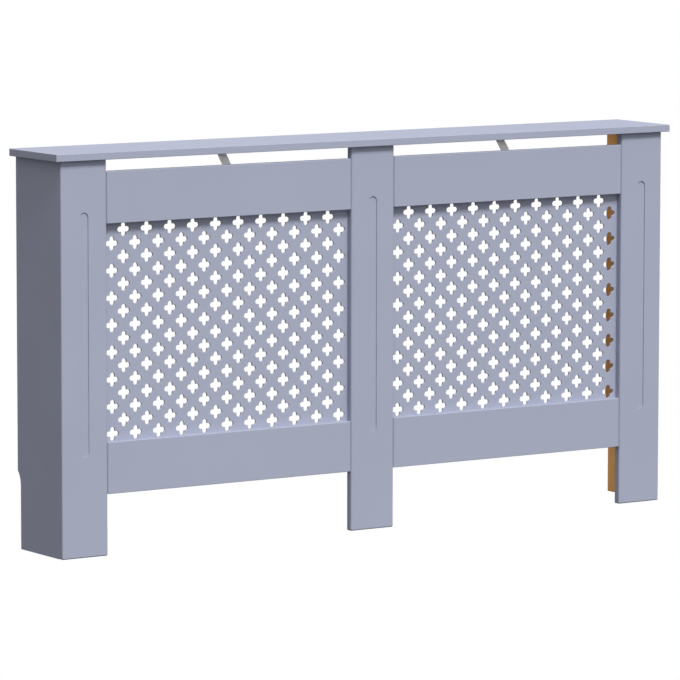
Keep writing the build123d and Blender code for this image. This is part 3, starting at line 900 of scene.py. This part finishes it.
class RADCOVER_OT_dowels(bpy.types.Operator):
    """Make the grooved dowels where the frame has them"""

    bl_idname = "radcover.dowels"
    bl_label = "Dowels"

    def execute(self, context):
        settings = context.scene.radcover_fixings
        tree = dowel_tree()
        for name in DOWEL_NODES:
            places, axes, sizes = zip(*(read_dowel(points) for points in solids_of(name)))
            values = {
                **sizes[0], "Flutes": settings.flutes, "Flute Depth": settings.flute_depth,
                "Finish": beech(settings, axes[0]),
            }
            ways = [np.eye(3)[axis] for axis in axes]
            made = grown(f"grooved_{name}", places, tree, values, DOWEL_SMOOTH_BELOW, ways)
            hand_over(made, "beech_dowel", name)
        return {"FINISHED"}


class RADCOVER_OT_stage(bpy.types.Operator):
    """Set the floor, the studio light and the camera"""

    bl_idname = "radcover.stage"
    bl_label = "Stage"

    def execute(self, context):
        settings = context.scene.radcover_stage
        lay_floor(settings)
        light_studio(context.scene, settings)
        set_camera(context.scene, settings)
        return {"FINISHED"}


def lay_floor(settings):
    """A wide, evenly lit pale floor that the camera sees and that throws no light back."""
    half = settings.floor_size / 2
    mesh = bpy.data.meshes.new("studio_floor")
    corners = [(-half, -half, 0), (half, -half, 0), (half, half, 0), (-half, half, 0)]
    mesh.from_pydata(corners, [], [(0, 1, 2, 3)])
    floor = bpy.data.objects.new("studio_floor", mesh)
    bpy.context.scene.collection.objects.link(floor)
    material, tree, shader, _ = new_material("Pale studio floor")
    feed(tree, shader.inputs["Base Color"], (0, 0, 0))
    feed(tree, shader.inputs["Emission Color"], settings.floor)
    shader.inputs["Emission Strength"].default_value = 1.0
    shader.inputs["Roughness"].default_value = 1.0
    shader.inputs["Specular IOR Level"].default_value = 0.0
    mesh.materials.append(material)
    floor.visible_diffuse = False
    floor.visible_glossy = False
    floor.visible_shadow = False


def hang_sun(scene, name, strength, height, turn, softness):
    """A far light as high as `height`, turned to the right from straight in front."""
    lamp = bpy.data.lights.new(name, "SUN")
    lamp.energy = strength
    lamp.angle = softness
    sun = bpy.data.objects.new(name, lamp)
    sun.rotation_euler = Euler((math.pi / 2 - height, 0, turn))
    scene.collection.objects.link(sun)
    return sun


def point_spot(scene, name, power, height, settings):
    """A narrow soft light behind the cabinet that shines at the rear edge of its right panel."""
    lamp = bpy.data.lights.new(name, "AREA")
    lamp.energy = power
    lamp.size = settings.spot_size
    lamp.spread = settings.spot_spread
    spot = bpy.data.objects.new(name, lamp)
    spot.location = (0.0, settings.spot_behind, height)
    aim = Vector((SIDE_INNER, BACK_PLANE, height)) - spot.location
    spot.rotation_euler = aim.to_track_quat("-Z", "Y").to_euler()
    spot.visible_camera = False
    scene.collection.objects.link(spot)


# Where the even light changes, as the sine of the height above the horizon: it is darkest
# below the first height, and it brightens towards the zenith between the other two.
GROUND_RISE = -0.4
ZENITH_RISE = (0.3, 0.8)


def light_studio(scene, settings):
    """Three lights in front, three behind and an even light from all round."""
    hang_sun(
        scene, "key_light", settings.key_strength, settings.key_height,
        settings.key_turn, settings.key_softness,
    )
    hang_sun(scene, "low_light", settings.low_strength, settings.low_height, 0, settings.low_softness)
    hang_sun(
        scene, "back_light", settings.back_strength, settings.back_height,
        settings.back_turn, settings.back_softness,
    )
    brace_light = hang_sun(
        scene, "brace_light", settings.brace_strength, settings.brace_height,
        settings.brace_turn, settings.brace_softness,
    )
    braces = bpy.data.collections.new("shelf_braces")
    for name in BRACE_NODES:
        braces.objects.link(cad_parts[name])
    brace_light.light_linking.receiver_collection = braces
    point_spot(scene, "low_spot", settings.low_spot_power, settings.low_spot_height, settings)
    point_spot(scene, "high_spot", settings.high_spot_power, settings.high_spot_height, settings)

    world = bpy.data.worlds.new("White studio")
    world.use_nodes = True
    tree = world.node_tree
    tree.nodes.clear()
    rise = split(tree, add(tree, "ShaderNodeTexCoord").outputs["Generated"])[2]
    from_below = spread(tree, rise, GROUND_RISE, 0.0, settings.ground, settings.horizon)
    from_above = spread(tree, rise, *ZENITH_RISE, 0.0, settings.zenith - settings.horizon)
    level = calc(tree, "ADD", from_below, from_above)
    seen = add(tree, "ShaderNodeBackground", {"Color": (1, 1, 1), "Strength": 1.0}).outputs[0]
    lit = add(tree, "ShaderNodeBackground", {"Color": (1, 1, 1), "Strength": level}).outputs[0]
    camera_ray = add(tree, "ShaderNodeLightPath").outputs["Is Camera Ray"]
    mixed = add(tree, "ShaderNodeMixShader", {0: camera_ray, 1: lit, 2: seen}).outputs[0]
    add(tree, "ShaderNodeOutputWorld", {"Surface": mixed})
    scene.world = world
    scene.view_settings.view_transform = "Standard"


SENSOR_WIDTH = 36.0  # millimetres, as the lens
VIEW_DISTANCE = 500.0


def set_camera(scene, settings):
    """The camera of the reference view."""
    lens = bpy.data.cameras.new("camera")
    lens.lens = settings.lens
    lens.sensor_width = SENSOR_WIDTH
    lens.clip_end = VIEW_DISTANCE
    camera = bpy.data.objects.new("camera", lens)
    upright = Euler((math.pi / 2 - settings.camera_tilt, 0, -settings.camera_turn)).to_matrix()
    turned_view = upright @ Matrix.Rotation(settings.camera_roll, 3, "Z")
    camera.matrix_world = Matrix.Translation(settings.camera_place) @ turned_view.to_4x4()
    scene.collection.objects.link(camera)
    scene.camera = camera


class RADCOVER_PT_panel(bpy.types.Panel):
    """The steps of the cabinet, in order"""

    bl_label = "Radiator Cover"
    bl_space_type = "VIEW_3D"
    bl_region_type = "UI"
    bl_category = "Radiator Cover"

    def draw(self, context):
        for operator in OPERATORS:
            self.layout.operator(operator.bl_idname)


SETTINGS = {
    "radcover_lacquer": LacquerSettings,
    "radcover_grille": GrilleSettings,
    "radcover_fixings": FixingSettings,
    "radcover_stage": StageSettings,
}
OPERATORS = (
    RADCOVER_OT_stage, RADCOVER_OT_boards, RADCOVER_OT_grilles, RADCOVER_OT_steelwork,
    RADCOVER_OT_blocks, RADCOVER_OT_screws, RADCOVER_OT_dowels,
)


def register():
    for kind in (*SETTINGS.values(), *OPERATORS, RADCOVER_PT_panel):
        bpy.utils.register_class(kind)
    for name, kind in SETTINGS.items():
        setattr(bpy.types.Scene, name, PointerProperty(type=kind))


def unregister():
    for name in SETTINGS:
        delattr(bpy.types.Scene, name)
    for kind in reversed((*SETTINGS.values(), *OPERATORS, RADCOVER_PT_panel)):
        bpy.utils.unregister_class(kind)


def main():
    register()
    for operator in OPERATORS:
        getattr(bpy.ops.radcover, operator.bl_idname.split(".")[1])()


if __name__ == "__main__":
    main()
